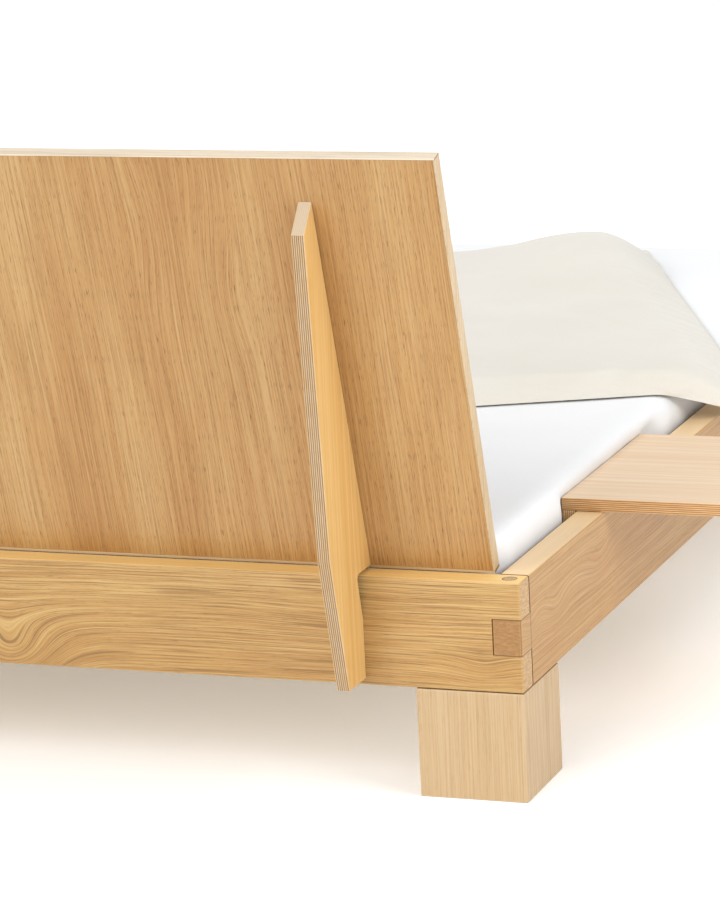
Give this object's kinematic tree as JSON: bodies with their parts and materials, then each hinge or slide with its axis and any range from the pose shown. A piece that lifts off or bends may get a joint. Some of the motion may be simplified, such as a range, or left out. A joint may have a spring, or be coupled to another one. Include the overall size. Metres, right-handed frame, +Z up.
{
  "type": "platform bed",
  "caption": "Low oak platform bed: finger-jointed frame on block feet, leaning headboard on plywood brackets, hook-on bedside shelf, slatted base, mattress and folded duvet.",
  "frame": {"origin": "centre of the whole object's bounding box, at floor level", "axes": "+Z up, +Y towards the head end, +X towards the bed's left side, seen from above with the head end at the top it points right; the bedside shelf is on the -X side"},
  "size_m": [2.224, 2.2446, 0.8826],
  "materials": {
    "solid_oak": "satin",
    "foot_oak": "satin",
    "oak_veneer": "satin",
    "oak_lipping": "satin",
    "plywood": "satin",
    "shelf_ply": "satin",
    "slat_pine": "matte",
    "zinc_steel": "satin",
    "white_cotton": "matte",
    "cream_cotton": "matte"
  },
  "bodies": {
    "frame": {"head_rail": "solid_oak", "foot_rail": "solid_oak", "side_rail_right": "solid_oak", "side_rail_left": "solid_oak", "corner_dowel_head_right": "foot_oak", "foot_head_right": "foot_oak", "foot_bolt_head_right": "zinc_steel", "corner_dowel_head_left": "foot_oak", "foot_head_left": "foot_oak", "foot_bolt_head_left": "zinc_steel", "corner_dowel_foot_right": "foot_oak", "foot_foot_right": "foot_oak", "foot_bolt_foot_right": "zinc_steel", "corner_dowel_foot_left": "foot_oak", "foot_foot_left": "foot_oak", "foot_bolt_foot_left": "zinc_steel", "headboard_panel": "oak_veneer", "headboard_lipping_bottom": "oak_lipping", "headboard_lipping_top": "oak_lipping", "headboard_lipping_right": "oak_lipping", "headboard_lipping_left": "oak_lipping", "headboard_bracket_right": "plywood", "bracket_bolt_right_1": "zinc_steel", "bracket_bolt_right_2": "zinc_steel", "panel_screw_right_1": "zinc_steel", "panel_screw_right_2": "zinc_steel", "headboard_bracket_left": "plywood", "bracket_bolt_left_1": "zinc_steel", "bracket_bolt_left_2": "zinc_steel", "panel_screw_left_1": "zinc_steel", "panel_screw_left_2": "zinc_steel", "slat_ledger_right": "slat_pine", "slat_ledger_left": "slat_pine", "centre_beam": "slat_pine", "beam_shoe_head": "slat_pine", "beam_shoe_foot": "slat_pine", "centre_leg": "foot_oak", "slat_01": "slat_pine", "slat_02": "slat_pine", "slat_03": "slat_pine", "slat_04": "slat_pine", "slat_05": "slat_pine", "slat_06": "slat_pine", "slat_07": "slat_pine", "slat_08": "slat_pine", "slat_09": "slat_pine", "slat_10": "slat_pine", "slat_11": "slat_pine", "slat_12": "slat_pine", "slat_13": "slat_pine", "slat_14": "slat_pine"},
    "shelf": {"shelf_board": "shelf_ply", "shelf_inner_cleat": "plywood", "shelf_outer_cleat": "plywood", "shelf_dowel_inner_1": "foot_oak", "shelf_dowel_inner_2": "foot_oak", "shelf_dowel_outer_1": "foot_oak", "shelf_dowel_outer_2": "foot_oak"},
    "mattress": {"mattress": "white_cotton"},
    "duvet": {"duvet": "cream_cotton"}
  },
  "joints": [
    {"name": "shelf_slide", "type": "slide", "parent": "frame", "child": "shelf", "axis": [0, 1, 0], "range_m": [-0.04, 0.29]},
    {"name": "mattress_lift", "type": "slide", "parent": "frame", "child": "mattress", "axis": [0, 0, 1], "range_m": [0, 0.25]},
    {"name": "duvet_lift", "type": "slide", "parent": "mattress", "child": "duvet", "axis": [0, 0, 1], "range_m": [0, 0.3]}
  ]
}
